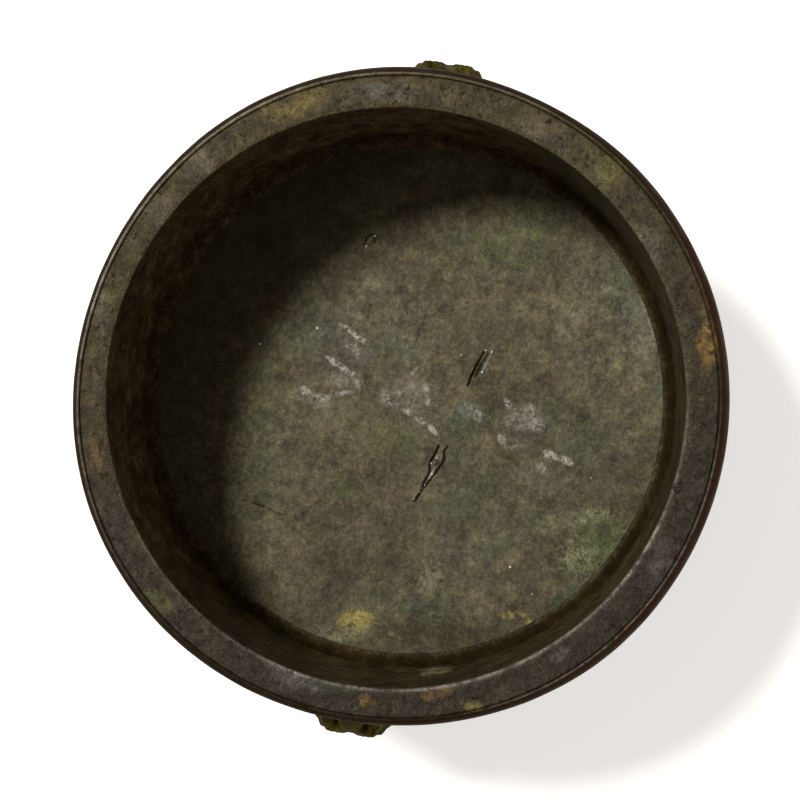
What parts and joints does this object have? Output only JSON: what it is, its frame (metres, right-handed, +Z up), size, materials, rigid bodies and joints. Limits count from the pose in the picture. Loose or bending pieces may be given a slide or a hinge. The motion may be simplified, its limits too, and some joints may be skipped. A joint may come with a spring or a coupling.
{
  "type": "tripod incense burner",
  "caption": "Straight-walled cast bronze bowl on short feet, with a broad flat rim and a lion mask on each side, for burning incense.",
  "frame": {"origin": "on the ground under the middle of the bowl, between the feet", "axes": "+Z up, masks on +X and -X, one foot on -Y"},
  "size_m": [0.1764, 0.1651, 0.087],
  "materials": {
    "dark_bronze": "old cast bronze with a dark olive-brown patina, pitted, with green and rust-yellow stains",
    "olive_brass": "old yellow bronze with an olive patina, rubbed brighter on its high places"
  },
  "bodies": {
    "root": {"bowl": "dark_bronze", "lion_mask_right": "olive_brass", "lion_mask_left": "olive_brass"}
  },
  "joints": []
}
